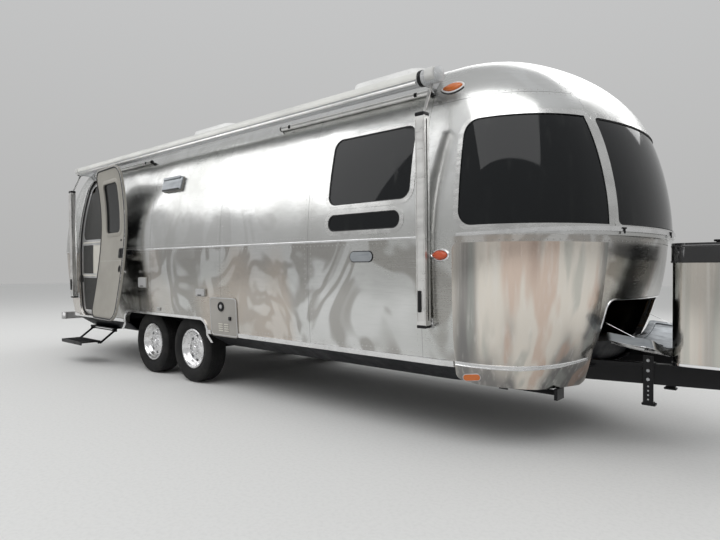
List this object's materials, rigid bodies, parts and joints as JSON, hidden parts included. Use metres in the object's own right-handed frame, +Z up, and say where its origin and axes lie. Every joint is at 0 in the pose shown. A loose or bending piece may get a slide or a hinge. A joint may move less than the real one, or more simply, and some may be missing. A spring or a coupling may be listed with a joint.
{
  "type": "travel caravan",
  "caption": "Two-axle travel caravan with a riveted aluminium shell, an open entry door, a front hatch, a rolled awning and an A-frame with jack and gas cover.",
  "frame": {"origin": "on the ground under the middle of the tongue jack's foot", "axes": "+X towards the hitch, along the body's length; +Y to the caravan's left; +Z up"},
  "size_m": [9.506, 2.836, 3.13],
  "materials": {
    "frame_paint": "semi-gloss",
    "skin": "polished",
    "trim_metal": "polished",
    "guard_metal": "brushed",
    "tinted_glass": "gloss",
    "lamp_lens": "gloss",
    "awning_cloth": "woven",
    "awning_metal": "satin",
    "roof_plastic": "matte",
    "bumper_metal": "satin",
    "tyre": "matte",
    "rim": "satin",
    "axle_paint": "semi-gloss",
    "pan_paint": "satin",
    "floor_wood": "matte",
    "cabinet_wood": "satin",
    "cushion": "woven",
    "door_shell": "satin",
    "screen_mesh": "satin",
    "handle_chrome": "polished",
    "zinc": "satin",
    "coupler_paint": "semi-gloss",
    "step_paint": "matte",
    "bottle_paint": "gloss"
  },
  "bodies": {
    "caravan": {"chassis_frame": "frame_paint", "coupler": "coupler_paint", "jack_housing": "zinc", "axles": "axle_paint", "floor_deck": "floor_wood", "belly_pan": "pan_paint", "side_wall_right": "skin", "side_wall_left": "skin", "roof_panel": "skin", "front_cap_upper": "skin", "front_cap_lower": "skin", "rear_cap_upper": "skin", "rear_cap_lower": "skin", "stone_guards": "guard_metal", "front_windows": "tinted_glass", "cabin_windows": "tinted_glass", "awning_roller": "awning_cloth", "awning_arms": "awning_metal", "window_awnings": "awning_metal", "roof_units": "roof_plastic", "rear_bumper": "bumper_metal", "lamps": "lamp_lens", "window_frames": "trim_metal", "front_window_frame": "trim_metal", "body_mouldings": "trim_metal", "service_doors": "trim_metal", "wheel_arch_trims": "trim_metal", "step_frame": "step_paint", "hitch_brackets": "zinc", "gas_cover": "trim_metal", "gas_bottles": "bottle_paint", "lounge_base": "cabinet_wood", "lounge_cushions": "cushion", "galley_block": "cabinet_wood", "bath_wall": "cabinet_wood", "door_hinges": "trim_metal", "hatch_hinges": "trim_metal"},
    "entry_door": {"main_door": "door_shell", "door_glass": "tinted_glass", "door_handle": "handle_chrome"},
    "screen": {"screen_door": "screen_mesh"},
    "hatch_lid": {"front_hatch": "skin"},
    "jack_foot": {"jack_leg": "zinc"},
    "step_link": {"step_arms": "step_paint"},
    "step": {"step_tread": "step_paint"},
    "gas_cover_lid": {"gas_lid": "trim_metal"},
    "wheel_front_right": {"tyre_front_right": "tyre", "rim_front_right": "rim"},
    "wheel_front_left": {"tyre_front_left": "tyre", "rim_front_left": "rim"},
    "wheel_rear_right": {"tyre_rear_right": "tyre", "rim_rear_right": "rim"},
    "wheel_rear_left": {"tyre_rear_left": "tyre", "rim_rear_left": "rim"},
    "stabiliser_front_right_leg": {"stabiliser_front_right": "zinc"},
    "stabiliser_front_left_leg": {"stabiliser_front_left": "zinc"},
    "stabiliser_rear_right_leg": {"stabiliser_rear_right": "zinc"},
    "stabiliser_rear_left_leg": {"stabiliser_rear_left": "zinc"}
  },
  "joints": [
    {"name": "wheel_front_right_spin", "type": "hinge", "parent": "caravan", "child": "wheel_front_right", "pos_m": [-5.118, -1.04, 0.368], "axis": [0, 1, 0], "continuous": true},
    {"name": "wheel_front_left_spin", "type": "hinge", "parent": "caravan", "child": "wheel_front_left", "pos_m": [-5.118, 1.04, 0.368], "axis": [0, 1, 0], "continuous": true},
    {"name": "wheel_rear_right_spin", "type": "hinge", "parent": "caravan", "child": "wheel_rear_right", "pos_m": [-5.982, -1.04, 0.368], "axis": [0, 1, 0], "continuous": true},
    {"name": "wheel_rear_left_spin", "type": "hinge", "parent": "caravan", "child": "wheel_rear_left", "pos_m": [-5.982, 1.04, 0.368], "axis": [0, 1, 0], "continuous": true},
    {"name": "entry_door_hinge", "type": "hinge", "parent": "caravan", "child": "entry_door", "pos_m": [-6.945, -1.345, 0.6], "axis": [0, 0.0461, 0.9989], "range_deg": [-176, 0]},
    {"name": "screen_door_hinge", "type": "hinge", "parent": "caravan", "child": "screen", "pos_m": [-7.008, -1.273, 0.6], "axis": [0, 0.0461, 0.9989], "range_deg": [0, 95]},
    {"name": "front_hatch_hinge", "type": "hinge", "parent": "caravan", "child": "hatch_lid", "pos_m": [-0.95, 0, 0.728], "axis": [0, 1, 0], "range_deg": [-78, 0]},
    {"name": "jack_slide", "type": "slide", "parent": "caravan", "child": "jack_foot", "axis": [0, 0, 1], "range_m": [0, 0.3]},
    {"name": "stabiliser_front_right_hinge", "type": "hinge", "parent": "caravan", "child": "stabiliser_front_right_leg", "pos_m": [-1.62, -0.7, 0.39], "axis": [0, 1, 0], "range_deg": [0, 62]},
    {"name": "stabiliser_front_left_hinge", "type": "hinge", "parent": "caravan", "child": "stabiliser_front_left_leg", "pos_m": [-1.62, 0.7, 0.39], "axis": [0, 1, 0], "range_deg": [0, 62]},
    {"name": "stabiliser_rear_right_hinge", "type": "hinge", "parent": "caravan", "child": "stabiliser_rear_right_leg", "pos_m": [-8.01, -0.7, 0.39], "axis": [0, -1, 0], "range_deg": [0, 62]},
    {"name": "stabiliser_rear_left_hinge", "type": "hinge", "parent": "caravan", "child": "stabiliser_rear_left_leg", "pos_m": [-8.01, 0.7, 0.39], "axis": [0, -1, 0], "range_deg": [0, 62]},
    {"name": "step_arm_hinge", "type": "hinge", "parent": "caravan", "child": "step_link", "pos_m": [-7.365, -1.105, 0.418], "axis": [1, 0, 0], "range_deg": [0, 75]},
    {"name": "step_tread_hinge", "type": "hinge", "parent": "step_link", "child": "step", "pos_m": [-7.365, -1.29, 0.276], "axis": [1, 0, 0], "range_deg": [-75, 0]},
    {"name": "gas_lid_hinge", "type": "hinge", "parent": "caravan", "child": "gas_cover_lid", "pos_m": [-0.144, 0, 1.283], "axis": [0, 1, 0], "range_deg": [0, 95]}
  ],
  "couplings": [
    {"joint": "step_tread_hinge", "follows": "step_arm_hinge", "ratio": -1}
  ]
}
